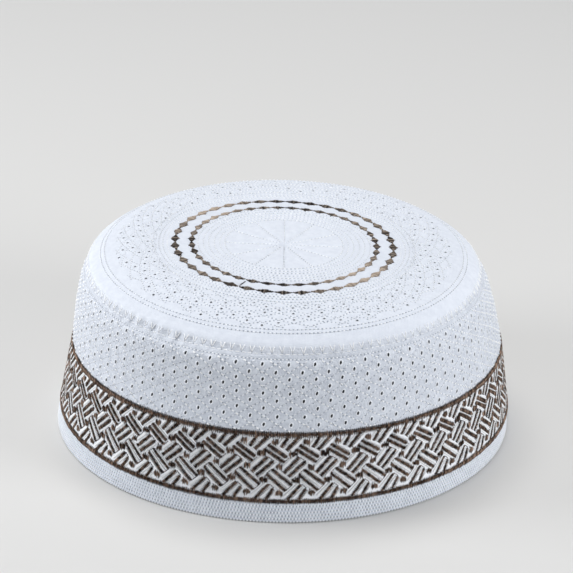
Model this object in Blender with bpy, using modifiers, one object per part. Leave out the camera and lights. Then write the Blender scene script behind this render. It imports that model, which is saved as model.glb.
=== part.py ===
"""Kufi cap: a round, brimless cloth cap with a flat crown, standing on its rim.

Metres, +Z up. The origin is the centre of the lower edge, on the surface that the cap rests on.
The front of the cap, as it is usually looked at, faces -Y.
The cap is four sewn pieces: hem, embroidered_band, side_wall and crown_top.
"""

import math

import bpy
from mathutils import Vector

MM = 0.001

# Driving dimensions, in millimetres
RIM_RADIUS = 92.0
BAND_BOTTOM_RADIUS = 91.1
BAND_TOP_RADIUS = 86.9
SEAM_RADIUS = 78.1
HEM_HEIGHT = 8.3
BAND_TOP_HEIGHT = 36.0
BAND_SWELL = 0.2
SEAM_HEIGHT = 70.4
CROWN_HEIGHT = 77.3

# Cloth thicknesses, and the gap that neighbouring pieces keep
HEM_THICKNESS = 2.6
BAND_THICKNESS = 1.0
CLOTH_THICKNESS = 1.6
PIECE_GAP = 0.3
HEM_FOLD_RADIUS = 0.8
HEM_FOLD_STEPS = 3

SEGMENTS = 72

# The wall above the band: its outer radius at each height, from the shoulder down
WALL_SHOULDER = [
    # radius, height
    (79.6, 67.6),
    (82.1, 61.7),
    (84.5, 51.3),
    (85.6, 43.5),
]

# The crown panel: its outer surface from the middle out to the edge
CROWN_DOME = [
    # radius, height
    (0.0, CROWN_HEIGHT),
    (22.0, 77.25),
    (43.9, 76.9),
    (60.0, 76.0),
    (67.5, 75.1),
    (72.0, 74.1),
    (75.6, 72.6),
]

# How the soft cap has settled: it leans a little to +X and its crown dips on that side
SETTLING = [
    # height, lean along +X, tilt in degrees about Y
    (0.0, 0.0, 0.0),
    (8.9, 0.6, 0.0),
    (35.6, 1.5, 0.0),
    (51.3, 0.8, 0.2),
    (61.7, 0.3, 0.4),
    (70.4, -0.15, 0.6),
    (76.0, -0.15, 1.4),
    (80.0, -0.15, 1.6),
]
SETTLING_LEVELS = 21
SETTLING_HALF_WIDTH = 100.0
SETTLING_TOP = 80.0

WHITE_COTTON = (0.78, 0.80, 0.84, 1.0)
BAND_CLOTH = (0.62, 0.59, 0.57, 1.0)


def clear_scene():
    for old in list(bpy.data.objects):
        bpy.data.objects.remove(old, do_unlink=True)


def cap_collection():
    collection = bpy.data.collections.new("kufi_cap")
    bpy.context.scene.collection.children.link(collection)
    return collection


def cloth_material(name, colour, roughness):
    material = bpy.data.materials.new(name)
    material.use_nodes = True
    shader = material.node_tree.nodes["Principled BSDF"]
    shader.inputs["Base Color"].default_value = colour
    shader.inputs["Roughness"].default_value = roughness
    shader.inputs["Metallic"].default_value = 0.0
    return material


def point_before(start, end, distance):
    """The point this far before the end of a straight run from start to end."""
    start, end = Vector(start), Vector(end)
    back = (start - end).normalized()
    return tuple(end + back * distance)


def turned(collection, name, profile, material, closed):
    """An object that turns a profile of (radius, height) points in millimetres about Z."""
    mesh = bpy.data.meshes.new(name)
    points = [(radius * MM, 0.0, height * MM) for radius, height in profile]
    edges = [(i, i + 1) for i in range(len(points) - 1)]
    if closed:
        edges.append((len(points) - 1, 0))
    mesh.from_pydata(points, edges, [])
    piece = bpy.data.objects.new(name, mesh)
    collection.objects.link(piece)
    piece.data.materials.append(material)
    screw = piece.modifiers.new("Turn", "SCREW")
    screw.steps = SEGMENTS
    screw.render_steps = SEGMENTS
    screw.use_smooth_shade = True
    screw.use_merge_vertices = True
    screw.merge_threshold = 0.00001
    return piece


def add_thickness(piece, thickness):
    """Gives an outer surface its cloth thickness, inwards."""
    solidify = piece.modifiers.new("Cloth", "SOLIDIFY")
    solidify.thickness = thickness * MM
    solidify.offset = -1.0
    solidify.use_even_offset = True


def make_hem(collection, material):
    """The folded strip at the lower edge: flat where it stands, with rounded folds beside that."""
    fold = HEM_FOLD_RADIUS
    inner_radius = RIM_RADIUS - HEM_THICKNESS
    inner_top_radius = BAND_BOTTOM_RADIUS - HEM_THICKNESS
    turns = [0.5 * math.pi * step / HEM_FOLD_STEPS for step in range(HEM_FOLD_STEPS + 1)]
    outer_fold = [
        (RIM_RADIUS - fold + fold * math.cos(turn), fold - fold * math.sin(turn)) for turn in turns
    ]
    inner_fold = [
        (inner_radius + fold - fold * math.sin(turn), fold - fold * math.cos(turn)) for turn in turns
    ]
    profile = [(BAND_BOTTOM_RADIUS, HEM_HEIGHT)] + outer_fold + inner_fold
    profile.append((inner_top_radius, HEM_HEIGHT))
    return turned(collection, "hem", profile, material, closed=True)


def foot_height(thickness):
    """Where a leaning strip's outer edge starts above the hem: its inner edge hangs a little lower."""
    slope = (BAND_BOTTOM_RADIUS - BAND_TOP_RADIUS) / (BAND_TOP_HEIGHT - HEM_HEIGHT)
    return HEM_HEIGHT + PIECE_GAP + thickness * slope


def make_band(collection, material):
    """The wide embroidered strip, standing on the hem and lying over the side wall."""
    foot = foot_height(BAND_THICKNESS)
    middle_radius = 0.5 * (BAND_TOP_RADIUS + BAND_BOTTOM_RADIUS) + BAND_SWELL
    profile = [
        (BAND_TOP_RADIUS, BAND_TOP_HEIGHT),
        (middle_radius, 0.5 * (BAND_TOP_HEIGHT + foot)),
        (BAND_BOTTOM_RADIUS, foot),
    ]
    band = turned(collection, "embroidered_band", profile, material, closed=False)
    add_thickness(band, BAND_THICKNESS)
    return band


def make_side_wall(collection, material):
    """The standing wall, from behind the band's foot up to the crown seam."""
    inset = BAND_THICKNESS + PIECE_GAP
    top = (SEAM_RADIUS, SEAM_HEIGHT)
    profile = [point_before(WALL_SHOULDER[0], top, PIECE_GAP)]
    profile += WALL_SHOULDER
    profile.append((BAND_TOP_RADIUS - inset, BAND_TOP_HEIGHT))
    profile.append((BAND_BOTTOM_RADIUS - inset, foot_height(CLOTH_THICKNESS)))
    wall = turned(collection, "side_wall", profile, material, closed=False)
    add_thickness(wall, CLOTH_THICKNESS)
    return wall


def make_crown(collection, material):
    """The round top panel: almost flat, with its edge bent down to the seam."""
    edge = (SEAM_RADIUS, SEAM_HEIGHT)
    profile = CROWN_DOME + [point_before(CROWN_DOME[-1], edge, PIECE_GAP)]
    crown = turned(collection, "crown_top", profile, material, closed=False)
    add_thickness(crown, CLOTH_THICKNESS)
    return crown


def settled_at(height):
    """(lean, tilt) at this height, from the settling table."""
    for (low, low_lean, low_tilt), (high, high_lean, high_tilt) in zip(SETTLING, SETTLING[1:]):
        if height <= high:
            share = (height - low) / (high - low)
            return low_lean + share * (high_lean - low_lean), low_tilt + share * (high_tilt - low_tilt)
    return SETTLING[-1][1:]


def settle(collection, pieces):
    """One lattice round the whole cap, which every piece follows.

    The lattice gets its object before its levels, because only then does it stay one unit tall.
    """
    lattice = bpy.data.lattices.new("settling")
    cage = bpy.data.objects.new("settling", lattice)
    collection.objects.link(cage)
    lattice.points_u = 2
    lattice.points_v = 2
    lattice.points_w = SETTLING_LEVELS
    for axis in ("u", "v", "w"):
        setattr(lattice, f"interpolation_type_{axis}", "KEY_LINEAR")
    cage.location = (0.0, 0.0, 0.5 * SETTLING_TOP * MM)
    cage.scale = (2 * SETTLING_HALF_WIDTH * MM, 2 * SETTLING_HALF_WIDTH * MM, SETTLING_TOP * MM)
    for point in lattice.points:
        height = (point.co.z + 0.5) * SETTLING_TOP
        lean, tilt = settled_at(height)
        side = math.copysign(SETTLING_HALF_WIDTH, point.co.x)
        drop = side * math.tan(math.radians(tilt))
        shift = Vector((lean / (2 * SETTLING_HALF_WIDTH), 0.0, -drop / SETTLING_TOP))
        point.co_deform = point.co + shift
    for piece in pieces:
        follow = piece.modifiers.new("Settle", "LATTICE")
        follow.object = cage


def main():
    clear_scene()
    collection = cap_collection()
    white_cotton = cloth_material("white_cotton", WHITE_COTTON, roughness=0.85)
    band_cloth = cloth_material("embroidered_cloth", BAND_CLOTH, roughness=0.7)
    pieces = [
        make_hem(collection, white_cotton),
        make_band(collection, band_cloth),
        make_side_wall(collection, white_cotton),
        make_crown(collection, white_cotton),
    ]
    settle(collection, pieces)


main()
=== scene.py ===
"""The finish of a white kufi cap: quilted cotton, a brown basket-weave band and two rings of diamonds.

Every piece lies on one surface, the cap's skin. A place on it is an angle round the cap, in radians
from +X, and an arc, the length up the outside from the rim. A lift is a height over the skin. Lengths
are in millimetres, unless they say otherwise. The front of the cap faces -Y, at -90 degrees.
"""

import math

import bmesh
import bpy
import numpy as np
from mathutils import Matrix, Vector


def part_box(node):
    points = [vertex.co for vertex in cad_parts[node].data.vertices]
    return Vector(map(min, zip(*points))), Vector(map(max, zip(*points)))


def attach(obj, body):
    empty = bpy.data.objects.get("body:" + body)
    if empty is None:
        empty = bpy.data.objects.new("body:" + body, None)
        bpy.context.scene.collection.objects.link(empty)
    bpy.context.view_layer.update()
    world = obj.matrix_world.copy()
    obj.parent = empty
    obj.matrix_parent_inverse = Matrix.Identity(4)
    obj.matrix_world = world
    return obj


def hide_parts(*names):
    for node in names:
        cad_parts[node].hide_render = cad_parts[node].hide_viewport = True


MM = 0.001
DEGREE = math.pi / 180
FULL_TURN = 2 * math.pi
FRONT = -90 * DEGREE

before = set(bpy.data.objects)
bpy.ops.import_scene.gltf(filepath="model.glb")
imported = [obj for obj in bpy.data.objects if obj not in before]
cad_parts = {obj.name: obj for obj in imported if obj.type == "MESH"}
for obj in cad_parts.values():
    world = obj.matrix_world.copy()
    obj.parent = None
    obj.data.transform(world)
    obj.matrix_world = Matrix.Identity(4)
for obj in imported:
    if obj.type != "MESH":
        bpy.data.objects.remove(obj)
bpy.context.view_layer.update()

# The skin, in millimetres, for a rim of this radius. The CAD's rim scales it.
SKIN_RIM_RADIUS = 92.0
SKIN = [
    # radius, height, lean along +X, tilt in degrees about Y
    (92.0, 0.0, 0.0, 0.0),
    (91.1, 8.9, 0.77, 0.0),
    (86.9, 35.6, 1.54, 0.0),
    (84.5, 51.3, 0.78, 0.23),
    (82.1, 61.7, 0.27, 0.39),
    (79.6, 67.6, -0.15, 0.47),
    (78.1, 70.4, -0.15, 0.52),
    (72.0, 74.1, -0.15, 0.52),
    (60.0, 76.0, -0.15, 1.6),
    (43.9, 76.9, -0.15, 1.6),
    (37.2, 77.1, -0.15, 1.6),
    (0.0, 77.3, -0.15, 1.6),
]
# The step between its samples, how far its corners are rounded, and how many times as far that reaches
SKIN_STEP = 0.1
SKIN_SOFTNESS = 1.1
SKIN_SOFT_REACH = 4

# Places up the side, as arcs
HEM_TOP = 8.3
BAND_FOOT = 8.7
BAND_TOP = 36.4
WALL_FOOT = 9.4
SEAM = 70.6
SEAM_GAP = 0.02

# How far the wall lies behind the band's outer face, and where it has come out again
WALL_SINK = 1.25
WALL_OUT = 37.2

# Thickness of the wall's and the crown's cloth, the band's, each leaf of the hem, and the whole hem
CLOTH = 0.8
BAND_CLOTH = 0.9
HEM_LEAF = 1.1
HEM_THICKNESS = 2.6
HEM_FOLD = 0.5 * HEM_THICKNESS

# Hollows and swells of the soft cap, pressed into the skin
DENTS = [
    # angle in degrees, arc, half width in degrees, half width in mm, outward push in mm
    (-118.0, 65.0, 16.0, 2.6, 1.5),
    (-132.0, 72.0, 16.0, 0.9, 0.45),
    (-108.0, 60.5, 22.0, 5.5, 1.0),
    (-107.0, 47.0, 24.0, 6.5, -1.1),
    (-74.0, 66.0, 1.5, 5.0, 0.35),
    (-76.5, 66.0, 1.5, 5.0, -0.3),
]

# The small gathers along the crown seam on the front's left: their place and push, in the same order
GATHERS = 96
GATHERS_AT = (-127.0, 69.3, 15.0, 2.0, 0.42)
# how far, and how many times round the cap, they bunch together
GATHERS_BUNCHING = (2, 7)

# Points along the sheets: round the band and the hem, and up each of their runs
BAND_COLUMNS = 270
BAND_ROWS = 15
HEM_COLUMNS = 288
HEM_INSIDE_ROWS = 5
HEM_FOLD_ROWS = 9
HEM_OUTSIDE_ROWS = 22

# The hem's rows of stitches, counted down from the highest, and its swell between them
HEM_ROWS = 6
HEM_TOP_ROW = 7.0
HEM_ROW_PITCH = 1.3
HEM_SWELL = 0.18

# Eyelets of the side wall: rows from the band up, each row half a pitch beside the one below
WALL_EYELETS = 51
WALL_EYELET_ARCS = [40.2, 43.4, 46.7, 49.8, 52.9, 55.7, 58.7, 61.4, 64.4]
WALL_EYELET_START = -88.5 * DEGREE
WALL_COLUMNS_PER_EYELET = 14
WALL_ROWS_PER_EYELET = 4
WALL_HIDDEN_ARCS = [18.0, 27.0, 34.0, 36.0]
WALL_ROWS_AT_BAND = 5
WALL_ROWS_AT_SEAM = 16
WALL_LATTICE_ARCS = [WALL_OUT] + WALL_EYELET_ARCS + [67.3]
WALL_TOP_ROWS = (66.3, 68.3)

# The zigzag along the crown seam: the arcs of its feet and tops, and its legs' spread in teeth
ZIGZAG_TEETH = 128
ZIGZAG_ARCS = (68.7, 71.7)
ZIGZAG_SPREAD = 0.28
# how uneven it is, in teeth along the seam and in millimetres up it
ZIGZAG_UNEVEN = (0.07, 0.25)
# its thread's width, height and shade, and how far the painted shadows of its needle holes lie below its
# feet
ZIGZAG_THREAD = (0.5, 0.32, 0.85)
ZIGZAG_HOLE_DROP = 0.3

# An eyelet's hole: half its size along and up the cloth, and its slant
WALL_HOLE = (0.48, 0.76, 0.2)
CROWN_HOLE = (0.57, 0.56, 0.0)
# The ring of thread round it: half its width, its height and its shade
WALL_RING = (0.24, 0.12, 0.22)
CROWN_RING = (0.16, 0.08, 0.1)
# The ring is a tube with four sides, and its spread brings their corners out to the ring's edges
RING_SEGMENTS = 10
RING_SIDES = 4
RING_SPREAD = 1.4
# How thin the cloth is pinched at a hole's edge, as a share of its thickness
EYELET_PINCH = 0.3
# The points of the cloth that a hole's edge takes, as steps (up, along), anticlockwise
HOLE_EDGE = [(0, 1), (1, 1), (1, 0), (1, -1), (0, -1), (-1, -1), (-1, 0), (-1, 1)]

# Eyelets of the crown: lines that leave each peak both ways, one step inwards at every column
CROWN_COLUMNS = 70
CROWN_REPEAT = 14
CROWN_PEAKS = (0, 4, 10)
CROWN_BETWEEN = 7
CROWN_START = -117.2 * DEGREE
CROWN_PEAK_RADIUS = 70.7
CROWN_LINE_STEP = 2.12
CROWN_LINE_EYELETS = 8
CROWN_COLUMNS_PER_EYELET = 8
CROWN_ROWS_PER_EYELET = 3
CROWN_ROW_OFFSET = 0.97
CROWN_ROW_POINTS = 14
CROWN_ROW_LEAD = 0.3
# how far the lattice is drawn in, as a share of its radius: everywhere, and at the cap's two sides as well
CROWN_SQUEEZE = (0.0045, 0.05)
# radii of the rings of stitches, and how far round their first stitches are spread
CROWN_ROWS = (73.8, 72.2, 52.8, 50.4, 48.7, 47.0, 34.7, 32.5, 30.4, 28.1, 25.9, 23.8)
CROWN_RING_STARTS = 0.1

# The crown's rows of points: outside its eyelets, inside them down to the fine radius, and further in
CROWN_EDGE_ROWS = 15
CROWN_ROW_STEP = 0.75
CROWN_FINE_RADIUS = 50
CROWN_MIDDLE_ROWS = [
    # from radius, to radius, step, share of the columns
    (49.6, 25, 0.75, 2),
    (24.6, 12, 0.9, 4),
    (11.5, 1, 1.0, 8),
]

# Quilting: how far the cloth swells between its stitches, the power that flattens those swells, and
# where they are: from, to, and the lengths over which they fade in and out, as arcs or the crown's radii
WALL_SWELL = 0.3
WALL_FLATNESS = 0.6
WALL_QUILTED = (WALL_EYELET_ARCS[0] - 3, WALL_EYELET_ARCS[-1] + 2, 3, 2)
CROWN_SWELL = 0.22
CROWN_FLATNESS = 0.7
CROWN_QUILTED = (54, 72, 2, 2)
CROWN_DRAWN_IN = (50, 75.5, 4, 3.5)
HEM_SWOLLEN = (1, 8, 1, 1)
RING_SWELL = 0.1
RING_SWELLS = [
    # radius of one swell's top, pitch, where they are
    (46.1, 1.75, (45.5, 54, 1, 2)),
    (24.8, 2.18, (24, 35.8, 1, 1)),
]
# and the grooves under the wall's two top rows
TOP_ROW_GROOVE = 0.2
TOP_ROW_HALF_WIDTHS = (0.5, 0.4)

# The star in the crown's middle
STAR_SPOKES = 12
STAR_RADIUS = 23.5
STAR_CENTRE = 2.0
STAR_GROOVE = 0.42
STAR_GROOVED = (0, STAR_RADIUS + 1, 3, 4)

# The satin lines along the band's edges
BAND_LINES = [
    # arc, width, shade, stitches
    (9.2, 1.5, 0.28, "lower line"),
    (36.2, 1.4, 0.32, "upper line"),
]

# The basket weave: one repeat, x along the band to the right and y as the arc, in millimetres
WEAVE_REPEATS = 45
WEAVE_WIDTH = 12.4
BROWN_BARS = [
    # from x, from y, to x, to y, width
    (13.8, 35.9, 10.85, 31.2, 1.81),
    (18.0, 35.7, 12.95, 30.1, 1.81),
    (5.6, 32.2, 13.3, 27.1, 1.89),
    (4.1, 30.6, 12.3, 25.2, 1.89),
    (18.2, 27.3, 12.3, 20.9, 1.74),
    (20.5, 25.6, 14.2, 19.4, 1.74),
    (7.7, 22.2, 15.7, 15.9, 1.67),
    (5.7, 20.3, 13.3, 13.6, 1.67),
    (6.7, 16.2, 1.7, 10.0, 1.67),
    (8.6, 14.5, 6.0, 10.0, 1.67),
]
WHITE_BARS = [
    (12.0, 35.0, 9.5, 31.9, 1.35),
    (15.9, 35.2, 11.8, 30.8, 0.72),
    (19.6, 35.2, 14.4, 30.2, 0.99),
    (6.8, 32.9, 13.6, 28.3, 0.72),
    (5.3, 31.2, 12.4, 26.5, 0.45),
    (5.0, 29.1, 9.9, 25.5, 0.81),
    (15.8, 27.2, 12.0, 23.4, 1.44),
    (19.3, 26.3, 13.3, 20.4, 0.81),
    (21.8, 25.1, 15.3, 18.6, 0.9),
    (9.4, 22.2, 15.9, 17.2, 0.81),
    (6.9, 21.0, 14.4, 14.8, 0.99),
    (6.6, 17.9, 12.4, 13.1, 1.08),
    (5.7, 16.6, 0.5, 11.4, 1.26),
    (7.8, 15.0, 3.7, 10.6, 0.81),
    (9.9, 13.9, 7.5, 10.6, 0.9),
]
WEAVE_KNOTS = [
    # x, y, across, tall, shade from 0, dark, to 1, light; the first, third and fifth knots are lighter
    # with a painted highlight
    (8.4, 33.3, 2.6, 2.7, 0.34),
    (3.3, 28.6, 3.4, 2.7, 0.18),
    (10.4, 23.3, 2.5, 2.7, 0.36),
    (4.6, 17.9, 3.2, 2.7, 0.2),
    (10.9, 12.7, 2.8, 2.7, 0.34),
]
WEAVE_OUTLINES = [
    # from x, from y, to x, to y: the thin brown threads that close the ends of a pair of bars
    (12.2, 24.9, 14.1, 27.1),
    (18.4, 27.2, 20.9, 25.5),
    (7.8, 22.5, 5.6, 20.4),
    (15.8, 16.0, 13.3, 13.5),
    (6.9, 16.3, 8.9, 14.6),
]

# A bar's width in stitches, as a share of its width in the chart, and its shade
BARS = {"brown bar": (0.7, 0.2), "white bar": (1.05, 1.2)}
# How much shorter a knot's stitches are than the knot, whose ends are ragged
KNOT_TRIM = 0.7
# The lift of brown thread that lies over the edges of the white bars
OVER_WHITE = 0.18

# The two rings of diamonds on the crown
DIAMONDS = 39
DIAMOND_GAP = -113.2 * DEGREE
DIAMOND_SHIFT = 1.1
DIAMOND_RINGS = [
    # radius, length along the ring, height across it
    (43.9, 6.6, 4.7),
    (37.2, 5.6, 4.0),
]
# A diamond's height at even steps along it, as a share of its full height
DIAMOND_OUTLINE = (0.12, 0.56, 1.0, 0.56, 0.12)
# Its thread's shade: the mean tone, and how far a painted satin sheen changes it four times and twice
# round the crown, lightest at the diagonals, most at the back left and front right
DIAMOND_TONE_AND_PAINTED_SHEEN = (0.36, 0.31, 0.22)
# The thread that jumps between the rings in their gap: its ends' turns from the gap, and their radii
JUMP_TURNS = (-0.002, 0.02)
JUMP_RADII = (44.78, 38.58)

# Running stitches
RUNNING = {
    # use: pitch, length, width, height, shade from 0, dark, to 1, light
    "wall, leaning left": (1.9, 1.4, 0.75, 0.5, 1.3),
    "wall, leaning right": (1.9, 1.4, 0.4, 0.5, 0.7),
    "wall, lower top row": (1.5, 0.9, 0.55, 0.3, 0.7),
    "wall, upper top row": (2.4, 2.35, 0.45, 0.25, 0.7),
    "hem": (HEM_ROW_PITCH, 0.95, 0.8, 0.45, 1.2),
    "crown ring": (1.6, 1.05, 0.55, 0.3, 0.6),
    "crown lattice": (1.6, 1.0, 0.5, 0.22, 0.6),
    "star": (1.5, 1.2, 0.5, 0.3, 0.8),
    "between diamonds": (0.8, 0.8, 0.45, 0.25, 0.2),
    "jump": (6.0, 5.9, 0.5, 0.4, 0.1),
    "weave outline": (1.0, 1.0, 0.4, 0.35, 0.1),
}
# Satin stitches: comb is how much further every other one reaches, and ragged how unevenly they end
SATIN = {
    # use: pitch, height, comb, ragged, a stitch's width as a share of the pitch
    "brown bar": (0.37, 0.34, 0.45, 0.22, 1.0),
    "white bar": (0.5, 0.5, 0.0, 0.0, 1.3),
    "knot": (0.42, 0.34, 0.6, 0.55, 1.0),
    "lower line": (0.42, 0.4, 0.6, 0.25, 1.0),
    "upper line": (0.42, 0.4, 0.8, 0.25, 1.0),
    "diamond": (0.5, 0.45, 0.0, 0.25, 1.2),
}
# How far the shades of like stitches spread, and how many points a path round the cap has
SHADE_SPREAD = 0.25
CIRCLE_POINTS = 361

# Painted shadows of the needle holes, as dark spots on the cloth: half their width at the front, where the
# rows show more shade, and elsewhere
WALL_HOLE_SHADOW = (0.26, 0.2)
HEM_HOLE_SHADOW = (0.3, 0.24)
CROWN_HOLE_SHADOW = (0.34, 0.18)
# how far round from the front they are widest, how unevenly wide they are, and their form
HOLE_SHADOW_HALF_TURN = 32 * DEGREE
HOLE_SHADOW_UNEVEN = (0.8, 1.25)
HOLE_SHADOW_CORNERS = 6
HOLE_SHADOW_LIFT = 0.06

# The photo's camera, with its distance in metres
CAMERA_ELEVATION = 27.13 * DEGREE
CAMERA_DISTANCE = 1.5
CAMERA_ROLL = -0.87 * DEGREE
CAMERA_YAW = 0.04 * DEGREE
CAMERA_PITCH = 2.02 * DEGREE
SENSOR_WIDTH = 36
# its focal length and the picture's width, in pixels
FOCAL_PIXELS = 3650
PICTURE_PIXELS = 573

# The studio, in metres
FLOOR_SIZE = 6
FLOOR_COLOUR = (0.672, 0.663, 0.645, 1)
ROOM_COLOUR = (0.86, 0.92, 1.0, 1)
ROOM_STRENGTH = 0.30
LIGHTS = [
    # name, place, place that it faces, size, power in watts, colour
    ("top", (-0.1, 0.28, 1.3), (0, 0, 0.05), 0.8, 10.6, (1.0, 0.99, 0.98)),
    ("left", (-1.17, -0.08, 0.34), (0, 0, 0.05), 0.7, 9.8, (0.97, 0.98, 1.0)),
    ("right", (1.1, -0.6, 0.43), (0, 0, 0.04), 0.7, 9.9, (0.98, 0.985, 1.0)),
]


class Skin:
    """The cap's outer surface."""

    def __init__(self, sections, scale):
        table = np.array(sections)
        table[:, :3] *= scale
        knots = np.concatenate([[0], np.cumsum(np.hypot(*np.diff(table[:, :2], axis=0).T))])
        self.length = knots[-1]
        self.arcs = np.arange(0, self.length, SKIN_STEP)
        reach = int(SKIN_SOFT_REACH * SKIN_SOFTNESS / SKIN_STEP)
        kernel = np.exp(-0.5 * (np.arange(-reach, reach + 1) * SKIN_STEP / SKIN_SOFTNESS) ** 2)
        kernel /= kernel.sum()
        self.columns = []
        # Past the crown's middle the cap runs on down its other side, where the radius is negative
        for column, mirrored in zip(table.T, (-1, 1, 1, 1)):
            values = np.interp(self.arcs, knots, column)
            before = 2 * values[0] - values[reach:0:-1]
            after = mirrored * values[: -reach - 1 : -1]
            self.columns.append(np.convolve(np.concatenate([before, values, after]), kernel, "valid"))
        radius, height = self.columns[:2]
        along = np.hypot(np.gradient(radius), np.gradient(height))
        self.out = np.gradient(height) / along
        self.up = -np.gradient(radius) / along

    def radius(self, arc):
        return np.interp(arc, self.arcs, self.columns[0])

    def arc_at(self, radius):
        """The arc on the crown at this radius."""
        return np.interp(-np.asarray(radius, float), -self.columns[0], self.arcs)

    def point(self, angle, arc, lift):
        """Points in metres, at this height over the skin in millimetres."""
        angle, arc = np.broadcast_arrays(np.asarray(angle, float), np.asarray(arc, float))
        lift = lift + dents(angle, arc)
        radius, height, lean, tilt = (np.interp(arc, self.arcs, c) for c in self.columns)
        radius = radius + lift * np.interp(arc, self.arcs, self.out)
        height = height + lift * np.interp(arc, self.arcs, self.up)
        x, y = radius * np.cos(angle), radius * np.sin(angle)
        height = height - np.tan(tilt * DEGREE) * x
        return np.stack([x + lean, y, height], axis=-1) * MM


def bell(distance, half_width):
    return np.exp(-0.5 * (distance / half_width) ** 2)


def turn_between(angle, other):
    """The turn from one angle to another, from -pi to pi."""
    return (angle - other + math.pi) % FULL_TURN - math.pi


def within(value, low, high, fade_in, fade_out):
    """1 between low and high, with straight fades to 0 at both."""
    return np.clip((value - low) / fade_in, 0, 1) * np.clip((high - value) / fade_out, 0, 1)


def dent(angle, arc, centre, height, half_turn, half_width, push):
    """One hollow or swell, from its row in the table."""
    round_cap = bell(turn_between(angle, centre * DEGREE), half_turn * DEGREE)
    return push * round_cap * bell(arc - height, half_width)


def dents(angle, arc):
    """The outward push of the soft cap's hollows, swells and gathers."""
    bunching, bunches = GATHERS_BUNCHING
    gathers = np.sin(GATHERS * angle + bunching * np.sin(bunches * angle))
    return sum(dent(angle, arc, *row) for row in DENTS) + gathers * dent(angle, arc, *GATHERS_AT)


def wall_base(arc):
    """The wall's lift: behind the band at its foot, out on the skin higher up."""
    share = np.clip((arc - BAND_TOP) / (WALL_OUT - BAND_TOP), 0, 1)
    return -WALL_SINK * (1 - share * share * (3 - 2 * share))


def wall_relief(angle, arc):
    """The quilted wall: a pillow round every eyelet, drawn in at the lattice and the two top rows."""
    column = (angle - WALL_EYELET_START) / FULL_TURN * WALL_EYELETS
    row = np.interp(arc, WALL_EYELET_ARCS, np.arange(len(WALL_EYELET_ARCS)))
    lattice = np.cos(math.pi * (column + row / 2)) * np.cos(math.pi * (column - row / 2))
    relief = WALL_SWELL * np.abs(lattice) ** WALL_FLATNESS * within(arc, *WALL_QUILTED)
    for row_arc, half_width in zip(WALL_TOP_ROWS, TOP_ROW_HALF_WIDTHS):
        relief = relief - TOP_ROW_GROOVE * bell(arc - row_arc, half_width)
    return relief


def crown_shift(angle, arc):
    """How much further in the crown's lattice lies at each angle: it's drawn in at the cap's two sides."""
    radius = skin.radius(arc)
    everywhere, at_sides = CROWN_SQUEEZE
    return radius * (everywhere + at_sides * np.cos(angle) ** 2) * within(radius, *CROWN_DRAWN_IN)


def crown_relief(angle, radius):
    """The quilted crown: swells between its stitches, and a star of grooves in the middle."""
    column = (angle - CROWN_START) / FULL_TURN * CROWN_COLUMNS
    step = (CROWN_PEAK_RADIUS - radius) / CROWN_LINE_STEP
    lattice = np.cos(math.pi * (column + step) / 2) * np.cos(math.pi * (column - step) / 2)
    relief = CROWN_SWELL * np.abs(lattice) ** CROWN_FLATNESS * within(radius, *CROWN_QUILTED)
    for top, pitch, zone in RING_SWELLS:
        swell = RING_SWELL * np.cos(FULL_TURN * (radius - top) / pitch)
        relief = relief + swell * within(radius, *zone)
    spokes = np.abs(np.cos(0.5 * STAR_SPOKES * (angle - FRONT))) ** (1 + radius)
    return relief - STAR_GROOVE * spokes * within(radius, *STAR_GROOVED)


def crown_lift(angle, arc):
    return crown_relief(angle, skin.radius(arc - crown_shift(angle, arc)))


def wall_lift(angle, arc):
    return wall_base(arc) + wall_relief(angle, arc)


def band_lift(angle, arc):
    return np.zeros(np.shape(angle))


def over_white(angle, arc):
    """The lift of brown thread that lies over the edges of the white bars."""
    return np.full(np.shape(angle), OVER_WHITE)


def new_mesh_piece(name, points, faces, material):
    mesh = bpy.data.meshes.new(name)
    mesh.from_pydata(points.tolist(), [], faces)
    mesh.shade_smooth()
    mesh.materials.append(material)
    piece = bpy.data.objects.new(name, mesh)
    bpy.context.scene.collection.objects.link(piece)
    return piece


def add_shades(piece, shades):
    """Gives thread its own shade at each point, from 0, dark, to 1, light; for stitches this also carries
    their painted shade and highlight.
    """
    piece.data.attributes.new("shade", "FLOAT", "POINT").data.foreach_set("value", shades)


def ring_faces(first, count, then, next_count):
    """Faces from a ring of points to the next one, which has as many, half as many, or one."""
    faces = []
    if next_count == 1:
        return [(first + i, first + (i + 1) % count, then) for i in range(count)]
    if next_count == count:
        for i in range(count):
            j = (i + 1) % count
            faces.append((first + i, first + j, then + j, then + i))
        return faces
    for i in range(next_count):
        low, middle, high = 2 * i, 2 * i + 1, (2 * i + 2) % count
        j = (i + 1) % next_count
        faces.append((first + low, first + middle, then + i))
        faces.append((first + middle, first + high, then + j, then + i))
    return faces


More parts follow.
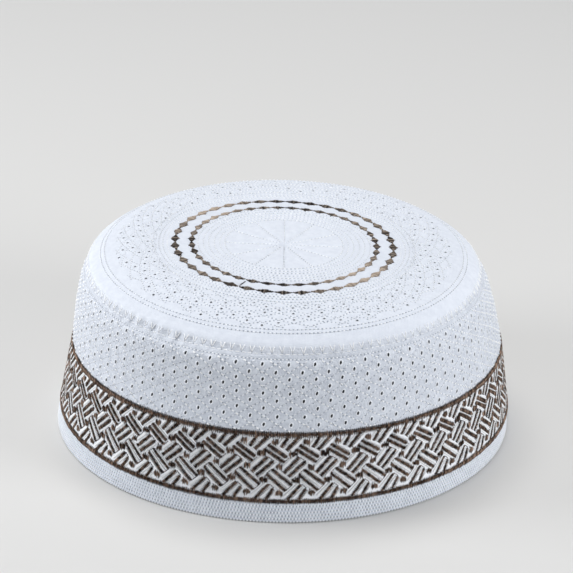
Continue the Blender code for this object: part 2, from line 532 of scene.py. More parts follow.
def cloth_shell(name, rings, lift, material, start=0.0, holes=(), hole=(0, 0, 0), shift=None):
    """A sheet of cloth on the skin, as a stack of rings of (arc, columns, base lift).

    holes are the (ring, column) places of eyelets, and hole is half an eyelet's width and height and
    its slant. shift says how much further up the arcs lie.
    """
    first = np.cumsum([0] + [count for _, count, _ in rings])
    angles = np.concatenate([start + FULL_TURN * np.arange(count) / count for _, count, _ in rings])
    arcs = np.concatenate([np.full(count, float(arc)) for arc, count, _ in rings])
    base = np.concatenate([np.full(count, float(sunk)) for _, count, sunk in rings])
    if shift:
        arcs = arcs + shift(angles, arcs)
    centres = set()
    edges = set()
    for ring, column in holes:
        count = rings[ring][1]
        centre = first[ring] + column % count
        centres.add(centre)
        for turn, (up, beside) in enumerate(HOLE_EDGE):
            at = first[ring + up] + (column + beside) % count
            edges.add(int(at))
            bearing = turn * FULL_TURN / len(HOLE_EDGE)
            arcs[at] = arcs[centre] + hole[1] * math.sin(bearing)
            along = hole[0] * math.cos(bearing) + hole[2] * math.sin(bearing)
            angles[at] = angles[centre] + along / skin.radius(arcs[centre])
    points = skin.point(angles, arcs, base + lift(angles, arcs))
    faces = []
    for i in range(len(rings) - 1):
        faces += ring_faces(first[i], rings[i][1], first[i + 1], rings[i + 1][1])
    faces = [face for face in faces if not centres.intersection(face)]
    piece = new_mesh_piece(name, points, faces, material)
    body = piece.vertex_groups.new(name="body")
    body.add(sorted(set(range(len(points))) - edges), 1.0, "REPLACE")
    clean_edges(piece.data)
    return piece


def clean_edges(mesh):
    """Removes the points in the middle of the holes, and gives the cloth crisp edges."""
    work = bmesh.new()
    work.from_mesh(mesh)
    loose = [point for point in work.verts if not point.link_faces]
    bmesh.ops.delete(work, geom=loose, context="VERTS")
    for edge in work.edges:
        edge.smooth = not edge.is_boundary
    work.to_mesh(mesh)
    work.free()


def thicken(piece, thickness):
    """Gives cloth its thickness, inwards. The thread of an eyelet pinches its edge thinner."""
    solidify = piece.modifiers.new("cloth", "SOLIDIFY")
    solidify.thickness = thickness * MM
    solidify.offset = -1.0
    solidify.vertex_group = "body"
    solidify.thickness_vertex_group = EYELET_PINCH


def whole_numbers(items, name):
    """One whole number of each of a mesh's faces or corners."""
    numbers = np.empty(len(items), np.int64)
    items.foreach_get(name, numbers)
    return numbers


def add_weave_coordinates(piece, flat):
    """A UV map in millimetres of flat cloth: round and up the wall, or straight across the crown."""
    mesh = piece.data
    places = np.empty(len(mesh.vertices) * 3)
    mesh.vertices.foreach_get("co", places)
    corners = places.reshape(-1, 3)[whole_numbers(mesh.loops, "vertex_index")] / MM
    if flat:
        across, up = corners[:, 0], corners[:, 1]
    else:
        turn = np.arctan2(corners[:, 1], corners[:, 0])
        across, up = turn * SKIN_RIM_RADIUS, corners[:, 2]
        # a face across the seam of the map takes all its corners from its first one's side
        starts = whole_numbers(mesh.polygons, "loop_start")
        first = np.repeat(across[starts], whole_numbers(mesh.polygons, "loop_total"))
        round_trip = FULL_TURN * SKIN_RIM_RADIUS
        across = across + round_trip * np.round((first - across) / round_trip)
    layer = mesh.uv_layers.new(name="weave")
    layer.data.foreach_set("uv", np.stack([across, up], axis=-1).ravel())


class Stitches:
    """Gathers stitches, and makes one mesh of them."""

    # along the stitch, across it, and up, for a thread that dips into the cloth at both ends
    SHAPE = np.array(
        [
            (0.0, 0.0, -0.25),
            (0.22, -0.95, -0.1),
            (0.27, 0.0, 0.9),
            (0.22, 0.95, -0.1),
            (0.78, -0.95, -0.1),
            (0.73, 0.0, 0.9),
            (0.78, 0.95, -0.1),
            (1.0, 0.0, -0.25),
        ]
    )
    # how much darker or lighter a stitch is at each of those points: painted shade where it dips into the
    # cloth and along its sides beside its neighbours, and a painted highlight on its crest
    PAINTED_SHADE_AND_HIGHLIGHT = np.array([-0.6, -0.2, 0.1, -0.2, -0.2, 0.1, -0.2, -0.6])
    # the faces of its start, its sides and its end, with their outer sides out
    FACES = [(3, 1, 0), (2, 3, 0), (1, 2, 0)]
    FACES += [(4, 5, 2, 1), (5, 6, 3, 2), (6, 4, 1, 3)]
    FACES += [(4, 6, 7), (6, 5, 7), (5, 4, 7)]

    def __init__(self, seed):
        self.random = np.random.default_rng(seed)
        self.rows = []
        self.hole_shadows = []

    def add(self, angle, arc, to_angle, to_arc, width, height, base, shade):
        """Stitches from one place to another; base is the lift of the cloth under them."""
        columns = np.broadcast_arrays(angle, arc, to_angle, to_arc, width, height, base, shade)
        rows = np.stack([np.asarray(column, float).ravel() for column in columns], axis=-1)
        rows[:, -1] += SHADE_SPREAD * (3 * self.random.random(len(rows)) ** 2 - 1)
        self.rows.append(rows)

    def make(self, name, material):
        rows = np.concatenate(self.rows)
        angle, arc, to_angle, to_arc, width, height, base, shade = (c[:, None] for c in rows.T)
        radius = skin.radius(0.5 * (arc + to_arc))
        round_cap, up = turn_between(to_angle, angle) * radius, to_arc - arc
        length = np.hypot(round_cap, up)
        along, across, rise = self.SHAPE.T
        side = 0.5 * width * across
        angles = angle + (round_cap * along - up / length * side) / radius
        arcs = arc + up * along + round_cap / length * side
        points = skin.point(angles, arcs, base + height * rise).reshape(-1, 3)
        faces = []
        for start in range(0, len(rows) * len(self.SHAPE), len(self.SHAPE)):
            faces += [tuple(start + corner for corner in face) for face in self.FACES]
        piece = new_mesh_piece(name, points, faces, material)
        # each point's shade takes the painted shade and highlight of the stitch's form
        add_shades(piece, np.clip(shade + self.PAINTED_SHADE_AND_HIGHLIGHT, 0, 1).ravel())
        return piece

    def make_hole_shadows(self, name, lift, material, half_widths):
        """Painted shade: the shadows in the needle holes between the stitches, as small dark spots on the
        cloth.
        """
        at_front, elsewhere = half_widths
        angle, arc = (np.concatenate(column)[:, None] for column in zip(*self.hole_shadows))
        frontness = bell(turn_between(angle, FRONT), HOLE_SHADOW_HALF_TURN)
        size = elsewhere + (at_front - elsewhere) * frontness
        size = size * self.random.uniform(*HOLE_SHADOW_UNEVEN, angle.shape)
        corners = FULL_TURN * np.arange(HOLE_SHADOW_CORNERS) / HOLE_SHADOW_CORNERS
        angles = angle + size * np.cos(corners) / skin.radius(arc)
        arcs = arc + size * np.sin(corners)
        points = skin.point(angles, arcs, lift(angles, arcs) + HOLE_SHADOW_LIFT).reshape(-1, 3)
        starts = range(0, len(points), HOLE_SHADOW_CORNERS)
        faces = [tuple(range(start, start + HOLE_SHADOW_CORNERS)) for start in starts]
        return new_mesh_piece(name, points, faces, material)


def measured(angles, arcs):
    """Lengths along a path on the skin, in millimetres."""
    middle = 0.5 * (arcs[1:] + arcs[:-1])
    runs = np.hypot(np.diff(angles) * skin.radius(middle), np.diff(arcs))
    return np.concatenate([[0], np.cumsum(runs)])


def running(stitches, use, angles, arcs, lift, holes=True):
    """A line of running stitches along a path, with the painted shadow of a needle hole before each."""
    pitch, length, width, height, shade = RUNNING[use]
    along = measured(angles, arcs)
    count = max(1, round(along[-1] / pitch))
    step = along[-1] / count
    starts = (np.arange(count) + 0.5 * (1 - length / pitch)) * step
    ends = starts + length / pitch * step
    places = [np.interp(at, along, path) for at in (starts, ends) for path in (angles, arcs)]
    base = lift(0.5 * (places[0] + places[2]), 0.5 * (places[1] + places[3]))
    stitches.add(*places, width, height, base, shade)
    # holes asks for the painted shadows of the needle holes
    if holes:
        between = np.arange(count) * step
        stitches.hole_shadows.append((np.interp(between, along, angles), np.interp(between, along, arcs)))


def satin(stitches, use, angles, arcs, width, lift, shade):
    """Stitches laid across a path, side by side."""
    pitch, height, comb, ragged, fatness = SATIN[use]
    along = measured(angles, arcs)
    count = max(2, round(along[-1] / pitch))
    at = (np.arange(count) + 0.5) * along[-1] / count
    angle, arc = np.interp(at, along, angles), np.interp(at, along, arcs)
    width = np.interp(at, along, np.broadcast_to(width, len(along)))
    radius = skin.radius(arc)
    heading = np.arctan2(np.gradient(arc), np.gradient(angle) * radius)
    further = comb * (np.arange(count) % 2)
    ends = []
    for side in (-1, 1):
        reach = side * (0.5 * width + further) + ragged * stitches.random.uniform(-1, 1, count)
        ends += [angle - np.sin(heading) * reach / radius, arc + np.cos(heading) * reach]
    stitches.add(*ends, fatness * along[-1] / count, height, lift(angle, arc), shade)


def full_circle(arc, start=0.0):
    """A path once round the cap."""
    return start + np.linspace(0, FULL_TURN, CIRCLE_POINTS), np.full(CIRCLE_POINTS, float(arc))


def weave_path(xs, ys, repeat):
    """A path on the band, as angles and arcs, from places on the weave's chart."""
    turns = repeat + np.array(xs) / WEAVE_WIDTH
    return FRONT + turns * FULL_TURN / WEAVE_REPEATS, np.array(ys, float)


def new_material(name, roughness, specular=0.5, sheen=0.0, sheen_roughness=0.5):
    """A material, its node tree and its shader, with these constants on the shader."""
    material = bpy.data.materials.new(name)
    material.use_nodes = True
    shader = material.node_tree.nodes["Principled BSDF"]
    shader.inputs["Roughness"].default_value = roughness
    shader.inputs["Specular IOR Level"].default_value = specular
    shader.inputs["Sheen Weight"].default_value = sheen
    shader.inputs["Sheen Roughness"].default_value = sheen_roughness
    return material, material.node_tree, shader


def add_node(tree, kind, **inputs):
    """A new node, with these constants on its inputs."""
    node = tree.nodes.new(kind)
    for name, value in inputs.items():
        node.inputs[name].default_value = value
    return node


def add_noise(tree, scale, detail):
    """The output of noise in the object's own space."""
    place = add_node(tree, "ShaderNodeTexCoord")
    texture = add_node(tree, "ShaderNodeTexNoise", Scale=scale, Detail=detail)
    tree.links.new(place.outputs["Object"], texture.inputs["Vector"])
    return texture.outputs["Fac"]


def add_colours(tree, shader, share, dark, light, dark_at=0.0, light_at=1.0):
    """Colours a shader with a ramp from dark to light."""
    ramp = add_node(tree, "ShaderNodeValToRGB")
    low, high = ramp.color_ramp.elements
    low.position = dark_at
    low.color = (*dark, 1)
    high.position = light_at
    high.color = (*light, 1)
    tree.links.new(share, ramp.inputs["Fac"])
    tree.links.new(ramp.outputs["Color"], shader.inputs["Base Color"])


def add_bump(tree, relief, strength, depth, under=None):
    """The output of a bump as deep as this in millimetres, over another bump if there is one."""
    bump = add_node(tree, "ShaderNodeBump", Strength=strength, Distance=depth * MM)
    tree.links.new(relief, bump.inputs["Height"])
    if under is not None:
        tree.links.new(under, bump.inputs["Normal"])
    return bump.outputs["Normal"]


def add_woven_threads(tree):
    """The output of two crossing sets of waves, on the flat cloth's own map."""
    weave_map = add_node(tree, "ShaderNodeUVMap")
    weave_map.uv_map = "weave"
    cross = add_node(tree, "ShaderNodeMath")
    cross.operation = "MULTIPLY"
    for i, direction in enumerate("XY"):
        wave = add_node(tree, "ShaderNodeTexWave", Scale=0.55, Distortion=0.6, Detail=1)
        wave.bands_direction = direction
        tree.links.new(weave_map.outputs["UV"], wave.inputs["Vector"])
        tree.links.new(wave.outputs["Fac"], cross.inputs[i])
    return cross.outputs["Value"]


def needle_hole_shade():
    """Painted shade: the dark colour of the shadow in a needle hole."""
    material, tree, shader = new_material("needle_hole_shadows", roughness=1.0)
    clouds = add_noise(tree, scale=500, detail=2)
    # painted shadow, in clouds from dark to lighter blue-grey
    add_colours(tree, shader, clouds, (0.17, 0.19, 0.23), (0.46, 0.51, 0.59))
    return material


def thread_material(name, dark, light, roughness, specular, sheen):
    """Thread whose colour runs from dark to light with each stitch's own shade."""
    material, tree, shader = new_material(name, roughness, specular, sheen)
    shade = add_node(tree, "ShaderNodeAttribute")
    shade.attribute_name = "shade"
    add_colours(tree, shader, shade.outputs["Fac"], dark, light)
    fibres = add_bump(tree, add_noise(tree, scale=9000, detail=2), strength=0.35, depth=0.05)
    tree.links.new(fibres, shader.inputs["Normal"])
    return material


def white_thread():
    return thread_material(
        "white_thread", (0.73, 0.765, 0.825), (0.98, 0.985, 0.99), roughness=0.35, specular=0.9, sheen=0.7
    )


def brown_thread():
    return thread_material(
        "brown_thread", (0.008, 0.004, 0.003), (0.52, 0.36, 0.27), roughness=0.7, specular=0.05, sheen=0.0
    )


def crown_thread():
    """The diamonds' thread, a little greyer and shinier than the band's. Its light end is the colour of
    the painted sheen on the diamonds.
    """
    return thread_material(
        "crown_thread", (0.011, 0.006, 0.0045), (0.53, 0.435, 0.35), roughness=0.6, specular=0.2, sheen=0.0
    )


def cotton_material(name, light, shadow, grain_depth):
    """Plain woven cotton: crossing threads and a grain in the bump, and faint clouds in the colour."""
    material, tree, shader = new_material(name, roughness=0.9, sheen=0.15, sheen_roughness=0.6)
    clouds = add_noise(tree, scale=420, detail=6)
    add_colours(tree, shader, clouds, shadow, light, dark_at=0.35, light_at=0.65)
    grain = add_bump(tree, add_noise(tree, scale=1700, detail=3), strength=0.6, depth=grain_depth)
    threads = add_bump(tree, add_woven_threads(tree), strength=0.5, depth=0.1, under=grain)
    tree.links.new(threads, shader.inputs["Normal"])
    return material


def crown_cotton():
    return cotton_material("white_cotton", (0.715, 0.75, 0.815), (0.66, 0.695, 0.765), grain_depth=0.15)


def wall_cotton():
    return cotton_material("quilted_cotton", (0.72, 0.755, 0.82), (0.60, 0.635, 0.705), grain_depth=0.9)


def hem_cotton():
    return cotton_material("hem_cotton", (0.755, 0.795, 0.865), (0.63, 0.67, 0.74), grain_depth=0.7)


def band_satin_with_sheen():
    # whiter than the other cotton: partly its own whiter satin, partly a painted sheen of the shiny satin
    return cotton_material("band_satin_and_sheen", (0.93, 0.945, 0.975), (0.85, 0.87, 0.91), grain_depth=0.3)


def crown_eyelets():
    """(column, step) of every eyelet on the crown: step 0 is at the peaks."""
    found = set()
    for repeat in range(0, CROWN_COLUMNS, CROWN_REPEAT):
        for peak in CROWN_PEAKS:
            for step in range(CROWN_LINE_EYELETS):
                found.add(((repeat + peak + step) % CROWN_COLUMNS, step))
                found.add(((repeat + peak - step) % CROWN_COLUMNS, step))
    return sorted(found)


def crown_rows(outer, inner, step, columns):
    """Rings of points on the crown, from the outer radius inwards."""
    return [(skin.arc_at(radius), columns, 0) for radius in np.arange(outer, inner, -step)]


def make_crown(cotton):
    """The round top panel, with its eyelets cut through."""
    columns = CROWN_COLUMNS * CROWN_COLUMNS_PER_EYELET
    edge = skin.radius(SEAM + SEAM_GAP)
    radii = list(np.linspace(edge, CROWN_PEAK_RADIUS, CROWN_EDGE_ROWS)[:-1])
    first_eyelet = len(radii)
    eyelet_row = CROWN_LINE_STEP / CROWN_ROWS_PER_EYELET
    for i in range(CROWN_ROWS_PER_EYELET * (CROWN_LINE_EYELETS - 1) + 1):
        radii.append(CROWN_PEAK_RADIUS - eyelet_row * i)
    rings = [(skin.arc_at(radius), columns, 0) for radius in radii]
    rings += crown_rows(radii[-1] - CROWN_ROW_STEP, CROWN_FINE_RADIUS, CROWN_ROW_STEP, columns)
    for outer, inner, step, share in CROWN_MIDDLE_ROWS:
        rings += crown_rows(outer, inner, step, columns // share)
    rings.append((skin.length - SKIN_STEP, 1, 0))
    holes = [
        (first_eyelet + step * CROWN_ROWS_PER_EYELET, column * CROWN_COLUMNS_PER_EYELET)
        for column, step in crown_eyelets()
    ]
    cut = (CROWN_START, holes, CROWN_HOLE, crown_shift)
    crown = cloth_shell("crown_cloth", rings, crown_lift, cotton, *cut)
    add_weave_coordinates(crown, flat=True)
    thicken(crown, CLOTH)
    return crown


def make_wall(cotton):
    """The standing wall, with its eyelets cut through."""
    columns = WALL_EYELETS * WALL_COLUMNS_PER_EYELET
    arcs = [WALL_FOOT] + WALL_HIDDEN_ARCS
    arcs += list(np.linspace(BAND_TOP, WALL_OUT, WALL_ROWS_AT_BAND))
    arcs += list(np.linspace(WALL_OUT, WALL_EYELET_ARCS[0], WALL_ROWS_AT_BAND)[1:-1])
    eyelet_rows = []
    for low, high in zip(WALL_EYELET_ARCS, WALL_EYELET_ARCS[1:]):
        eyelet_rows.append(len(arcs))
        arcs += list(np.linspace(low, high, WALL_ROWS_PER_EYELET + 1)[:-1])
    eyelet_rows.append(len(arcs))
    arcs += list(np.linspace(WALL_EYELET_ARCS[-1], SEAM, WALL_ROWS_AT_SEAM))
    rings = [(arc, columns, 0) for arc in arcs]
    holes = []
    for row, ring in enumerate(eyelet_rows):
        beside = (row % 2) * WALL_COLUMNS_PER_EYELET // 2
        holes += [(ring, beside + i * WALL_COLUMNS_PER_EYELET) for i in range(WALL_EYELETS)]
    wall = cloth_shell("wall_cloth", rings, wall_lift, cotton, WALL_EYELET_START, holes, WALL_HOLE)
    add_weave_coordinates(wall, flat=False)
    thicken(wall, CLOTH)
    return wall


def make_band(cotton):
    """The strip that carries the basket weave."""
    rings = [(arc, BAND_COLUMNS, 0) for arc in np.linspace(BAND_FOOT, BAND_TOP, BAND_ROWS)]
    band = cloth_shell("band_cloth", rings, band_lift, cotton)
    add_weave_coordinates(band, flat=False)
    thicken(band, BAND_CLOTH)
    return band


def hem_lift(angle, arc):
    """The top-stitched hem: it swells between its rows of stitches."""
    swell = -HEM_SWELL * np.cos(FULL_TURN * (arc - HEM_TOP_ROW) / HEM_ROW_PITCH)
    return swell * within(arc, *HEM_SWOLLEN) * np.ones(np.shape(angle))


def make_hem(cotton):
    """The folded strip at the lower edge: down the inside, round the fold and up the outside."""
    fold = HEM_FOLD
    rings = [(arc, HEM_COLUMNS, -HEM_THICKNESS) for arc in np.linspace(HEM_TOP, fold, HEM_INSIDE_ROWS)]
    for turn in np.linspace(0, math.pi, HEM_FOLD_ROWS)[1:-1]:
        rings.append((fold - fold * math.sin(turn), HEM_COLUMNS, -fold - fold * math.cos(turn)))
    rings += [(arc, HEM_COLUMNS, 0) for arc in np.linspace(fold, HEM_TOP, HEM_OUTSIDE_ROWS)]
    hem = cloth_shell("hem_cloth", rings, hem_lift, cotton)
    add_weave_coordinates(hem, flat=False)
    thicken(hem, HEM_LEAF)
    return hem


def tube_faces(start):
    """The faces of one eyelet's ring, whose points begin at start."""
    faces = []
    for i in range(RING_SEGMENTS):
        for j in range(RING_SIDES):
            here, onwards = i * RING_SIDES, (i + 1) % RING_SEGMENTS * RING_SIDES
            next_j = (j + 1) % RING_SIDES
            corners = (here + j, onwards + j, onwards + next_j, here + next_j)
            faces.append(tuple(start + corner for corner in corners))
    return faces


def eyelet_rings(name, places, hole, ring, lift, material):
    """A flat ring of white thread round every eyelet, at (angle, arc)."""
    turns = FULL_TURN * np.arange(RING_SEGMENTS) / RING_SEGMENTS
    tube = FULL_TURN * (np.arange(RING_SIDES) + 0.5) / RING_SIDES
    turn, around = (grid.ravel() for grid in np.meshgrid(turns, tube, indexing="ij"))
    places = np.array(places)
    angle, arc = places[:, :1], places[:, 1:]
    half_width, height, shade = ring
    border = half_width * (1 + RING_SPREAD * np.cos(around))
    along = (hole[0] + border) * np.cos(turn) + hole[2] * np.sin(turn)
    angles = angle + along / skin.radius(arc)
    arcs = arc + (hole[1] + border) * np.sin(turn)
    points = skin.point(angles, arcs, lift(angles, arcs) + height * np.sin(around)).reshape(-1, 3)
    faces = []
    for eyelet in range(len(places)):
        faces += tube_faces(eyelet * RING_SEGMENTS * RING_SIDES)
    piece = new_mesh_piece(name, points, faces, material)
    add_shades(piece, np.full(len(points), shade))
    return piece


def wall_eyelet_places():
    places = []
    pitch = FULL_TURN / WALL_EYELETS
    for row, arc in enumerate(WALL_EYELET_ARCS):
        for i in range(WALL_EYELETS):
            places.append((WALL_EYELET_START + (i + 0.5 * (row % 2)) * pitch, arc))
    return places


def crown_eyelet_places():
    places = []
    for column, step in crown_eyelets():
        angle = CROWN_START + column * FULL_TURN / CROWN_COLUMNS
        arc = skin.arc_at(CROWN_PEAK_RADIUS - step * CROWN_LINE_STEP)
        places.append((angle, float(arc + crown_shift(angle, arc))))
    return places


def add_wall_lattice(stitches):
    """The lines of stitches that cross between the eyelets, as paths with a point at every quarter row."""
    last = len(WALL_EYELET_ARCS)
    rows = np.arange(-4, 4 * last - 1) / 4
    arcs = np.interp(rows, np.arange(-1, last + 1), WALL_LATTICE_ARCS)
    pitch = FULL_TURN / WALL_EYELETS
    for i in range(WALL_EYELETS):
        for slant, use in ((-0.5, "wall, leaning left"), (0.5, "wall, leaning right")):
            angles = WALL_EYELET_START + (i + 0.5 + slant * rows) * pitch
            running(stitches, use, angles, arcs, wall_lift)


def make_wall_stitches(white, hole_shadow):
    """The lattice between the eyelets, the double row above them, and the zigzag along the crown seam."""
    stitches = Stitches(seed=11)
    add_wall_lattice(stitches)
    lower, upper = WALL_TOP_ROWS
    running(stitches, "wall, lower top row", *full_circle(lower), wall_lift)
    running(stitches, "wall, upper top row", *full_circle(upper), wall_lift, holes=False)
    add_zigzag(stitches)
    thread = stitches.make("wall_stitches", white)
    return thread, stitches.make_hole_shadows("wall_hole_shadows", wall_lift, hole_shadow, WALL_HOLE_SHADOW)


def add_zigzag(stitches):
    """The V-shaped legs that sew the crown to the wall, with the painted shadow of a needle hole at the
    foot of each V.
    """
    tooth = FULL_TURN / ZIGZAG_TEETH
    uneven = stitches.random.uniform(-1, 1, (3, ZIGZAG_TEETH))
    uneven_along, uneven_up = ZIGZAG_UNEVEN
    feet = (np.arange(ZIGZAG_TEETH) + uneven_along * uneven[0]) * tooth
    foot_arcs = ZIGZAG_ARCS[0] + uneven_up * uneven[1]
    top_arcs = ZIGZAG_ARCS[1] + uneven_up * uneven[2]
    width, height, shade = ZIGZAG_THREAD
    base = wall_lift(feet, np.full(ZIGZAG_TEETH, SEAM))
    for side in (-1, 1):
        tops = feet + side * ZIGZAG_SPREAD * tooth
        stitches.add(tops, top_arcs, feet, foot_arcs, width, height, base, shade)
    stitches.hole_shadows.append((feet, foot_arcs - ZIGZAG_HOLE_DROP))


def hem_face(angle, arc):
    """The hem's outer face, which rounds inwards at the fold."""
    short = np.clip(HEM_FOLD - arc, 0, HEM_FOLD)
    return hem_lift(angle, arc) + np.sqrt(HEM_FOLD**2 - short**2) - HEM_FOLD


def make_hem_stitches(white, hole_shadow):
    """Rows of top-stitching, each begun half a stitch further on than the one above."""
    stitches = Stitches(seed=12)
    pitch = RUNNING["hem"][0]
    for row in range(HEM_ROWS):
        arc = HEM_TOP_ROW - row * HEM_ROW_PITCH
        start = 0.5 * row * pitch / skin.radius(arc)
        running(stitches, "hem", *full_circle(arc, start), hem_face)
    thread = stitches.make("hem_stitches", white)
    return thread, stitches.make_hole_shadows("hem_hole_shadows", hem_face, hole_shadow, HEM_HOLE_SHADOW)


def add_crown_rings(stitches):
    for radius in CROWN_ROWS:
        start = stitches.random.uniform(0, CROWN_RING_STARTS)
        running(stitches, "crown ring", *full_circle(skin.arc_at(radius), start), crown_lift)


def add_crown_lattice(stitches):
    """A row on either side of every line of eyelets, and one between the peaks."""
    rows = [(peak, offset) for peak in CROWN_PEAKS for offset in (-CROWN_ROW_OFFSET, CROWN_ROW_OFFSET)]
    rows.append((CROWN_BETWEEN, 0))
    for repeat in range(0, CROWN_COLUMNS, CROWN_REPEAT):
        for peak, offset in rows:
            steps = np.linspace(-CROWN_ROW_LEAD, CROWN_LINE_EYELETS, CROWN_ROW_POINTS) - offset
            arcs = skin.arc_at(CROWN_PEAK_RADIUS - CROWN_LINE_STEP * (steps + offset))
            for side in (-1, 1):
                angles = CROWN_START + (repeat + peak + side * steps) * FULL_TURN / CROWN_COLUMNS
                drawn_in = arcs + crown_shift(angles, arcs)
                running(stitches, "crown lattice", angles, drawn_in, crown_lift)


def add_star(stitches):
    arcs = skin.arc_at((STAR_RADIUS, STAR_CENTRE))
    for i in range(STAR_SPOKES):
        angle = FRONT + i * FULL_TURN / STAR_SPOKES
        running(stitches, "star", np.full(2, angle), arcs, crown_lift)


def make_crown_stitches(white, hole_shadow):
    """The rings of running stitches, the rows along the eyelets, and the star."""
    stitches = Stitches(seed=13)
    add_crown_rings(stitches)
    add_crown_lattice(stitches)
    add_star(stitches)
    thread = stitches.make("crown_stitches", white)
    return thread, stitches.make_hole_shadows("crown_hole_shadows", crown_lift, hole_shadow, CROWN_HOLE_SHADOW)


def make_diamonds(brown):
    """Two rings of pointed diamonds in satin stitch, and the thread between them.

    The rings sit a little further forward than the rest of the crown's stitches.
    """
    stitches = Stitches(seed=14)
    pitch = FULL_TURN / DIAMONDS
    points = len(DIAMOND_OUTLINE)
    mean, sheen_four_times, sheen_twice = DIAMOND_TONE_AND_PAINTED_SHEEN
    for radius, length, across in DIAMOND_RINGS:
        for i in range(DIAMONDS):
            middle = DIAMOND_GAP + (i + 0.5) * pitch
            half = 0.5 * length / radius
            arc = float(skin.arc_at(radius + DIAMOND_SHIFT * math.cos(middle - FRONT) ** 3))
            angles = middle + half * np.linspace(-1, 1, points)
            widths = across * np.array(DIAMOND_OUTLINE)
            # painted sheen on the satin: lighter at the diagonals, most at the back left and front right
            shade = mean - sheen_four_times * math.cos(4 * middle) - sheen_twice * math.sin(2 * middle)
            satin(stitches, "diamond", angles, np.full(points, arc), widths, crown_lift, shade)
            if i < DIAMONDS - 1:
                ends = np.array([middle + half, middle + pitch - half])
                running(stitches, "between diamonds", ends, np.full(2, arc), crown_lift)
    jump = DIAMOND_GAP + np.array(JUMP_TURNS)
    running(stitches, "jump", jump, skin.arc_at(JUMP_RADII), crown_lift)
    return stitches.make("crown_diamonds", brown)


def add_bars(stitches, use, bars, lift, repeat):
    """One repeat's bars in one colour of thread."""
    share, shade = BARS[use]
    for x, y, to_x, to_y, width in bars:
        path = weave_path((x, to_x), (y, to_y), repeat)
        satin(stitches, use, *path, share * width, lift, shade)


def add_knots(stitches, repeat):
    """One repeat's brown knots, and the thin thread that closes the ends of its pairs of bars."""
    for x, y, across, tall, shade in WEAVE_KNOTS:
        path = weave_path((x - 0.5 * across, x + 0.5 * across), (y, y), repeat)
        satin(stitches, "knot", *path, tall - KNOT_TRIM, over_white, shade)
    for x, y, to_x, to_y in WEAVE_OUTLINES:
        path = weave_path((x, to_x), (y, to_y), repeat)
        running(stitches, "weave outline", *path, band_lift)


def make_white_weave(white):
    stitches = Stitches(seed=16)
    for repeat in range(WEAVE_REPEATS):
        add_bars(stitches, "white bar", WHITE_BARS, band_lift, repeat)
    return stitches.make("band_weave_white", white)


def make_brown_weave(brown):
    stitches = Stitches(seed=15)
    for repeat in range(WEAVE_REPEATS):
        add_bars(stitches, "brown bar", BROWN_BARS, over_white, repeat)
        add_knots(stitches, repeat)
    return stitches.make("band_weave_brown", brown)


def make_lines(brown):
    """The satin lines along the band's two edges."""
    stitches = Stitches(seed=17)
    for arc, width, shade, use in BAND_LINES:
        satin(stitches, use, *full_circle(arc), width, over_white, shade)
    return stitches.make("band_lines", brown)


def photo_camera():
    """A camera that looks at the front of the cap from above."""
    across = -CAMERA_DISTANCE * math.cos(CAMERA_ELEVATION)
    place = Vector((0, across, CAMERA_DISTANCE * math.sin(CAMERA_ELEVATION)))
    forward = -place.normalized()
    right = Vector((1, 0, 0))
    level = Matrix((right, right.cross(forward), forward))
    yaw = Matrix.Rotation(-CAMERA_YAW, 3, "Y")
    pitch = Matrix.Rotation(CAMERA_PITCH, 3, "X")
    roll = Matrix.Rotation(CAMERA_ROLL, 3, "Z")
    right, up, forward = roll @ pitch @ yaw @ level
    camera = bpy.data.objects.new("camera", bpy.data.cameras.new("camera"))
    bpy.context.scene.collection.objects.link(camera)
    facing = Matrix((right, up, -forward)).transposed().to_4x4()
    camera.matrix_world = Matrix.Translation(place) @ facing
    camera.data.sensor_width = SENSOR_WIDTH
    camera.data.lens = FOCAL_PIXELS / PICTURE_PIXELS * SENSOR_WIDTH
    bpy.context.scene.camera = camera


def area_light(name, place, target, size, power, colour):
    light = bpy.data.lights.new(name, "AREA")
    light.shape = "DISK"
    light.size = size
    light.energy = power
    light.color = colour
    lamp = bpy.data.objects.new(name, light)
    bpy.context.scene.collection.objects.link(lamp)
    lamp.location = place
    lamp.rotation_euler = (Vector(target) - Vector(place)).to_track_quat("-Z", "Y").to_euler()


def make_floor():
    bpy.ops.mesh.primitive_plane_add(size=FLOOR_SIZE)
    floor = bpy.context.object
    floor.name = "floor"
    material, _, shader = new_material("floor", roughness=0.8)
    shader.inputs["Base Color"].default_value = FLOOR_COLOUR
    floor.data.materials.append(material)


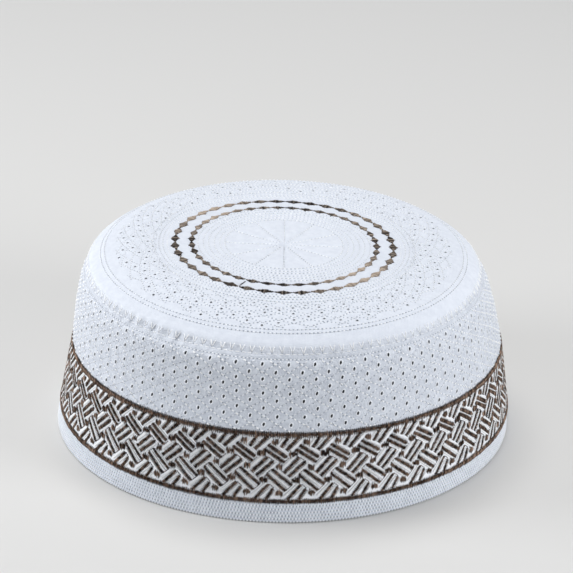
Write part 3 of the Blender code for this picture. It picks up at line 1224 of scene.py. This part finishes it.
def light_studio():
    """Soft light from the room and from three lamps."""
    world = bpy.data.worlds.new("studio")
    world.use_nodes = True
    room = world.node_tree.nodes["Background"]
    room.inputs["Color"].default_value = ROOM_COLOUR
    room.inputs["Strength"].default_value = ROOM_STRENGTH
    bpy.context.scene.world = world
    for light in LIGHTS:
        area_light(*light)
    bpy.context.scene.view_settings.view_transform = "Standard"


def dress_nodes():
    """The four sheets of cloth, each in its CAD node's place."""
    cloth = [
        # piece, CAD node, flat width and length in metres, flat area or None
        (make_hem(hem_cotton()), "hem", (0.575, 0.018), None),
        (make_band(band_satin_with_sheen()), "embroidered_band", (0.56, 0.028), None),
        (make_wall(wall_cotton()), "side_wall", (0.545, 0.063), None),
        (make_crown(crown_cotton()), "crown_top", (0.162, 0.162), math.pi * 0.081**2),
    ]
    for piece, node, flat, area in cloth:
        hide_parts(node)
        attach(piece, "root")


def embroider():
    """All the thread on the cloth, and the painted shadows of the needle holes between the stitches."""
    white, brown, hole_shadow = white_thread(), brown_thread(), needle_hole_shade()
    wall_stitches, wall_hole_shadows = make_wall_stitches(white, hole_shadow)
    hem_stitches, hem_hole_shadows = make_hem_stitches(white, hole_shadow)
    crown_stitches, crown_hole_shadows = make_crown_stitches(white, hole_shadow)
    in_white = [
        eyelet_rings("wall_eyelets", wall_eyelet_places(), WALL_HOLE, WALL_RING, wall_lift, white),
        eyelet_rings("crown_eyelets", crown_eyelet_places(), CROWN_HOLE, CROWN_RING, crown_lift, white),
        wall_stitches,
        hem_stitches,
        crown_stitches,
        make_white_weave(white),
    ]
    in_brown = [make_brown_weave(brown), make_lines(brown), make_diamonds(crown_thread())]
    hole_shadows = [wall_hole_shadows, hem_hole_shadows, crown_hole_shadows]
    # the painted shadows of the needle holes go in the cotton's slot
    slots = {"white_thread": in_white, "brown_thread": in_brown, "white_cotton": hole_shadows}
    for slot, pieces in slots.items():
        for piece in pieces:
            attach(piece, "root")


hem_low, hem_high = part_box("hem")
rim_radius = (hem_high[0] - hem_low[0]) / MM / 2
skin = Skin(SKIN, rim_radius / SKIN_RIM_RADIUS)
photo_camera()
make_floor()
light_studio()
dress_nodes()
embroider()
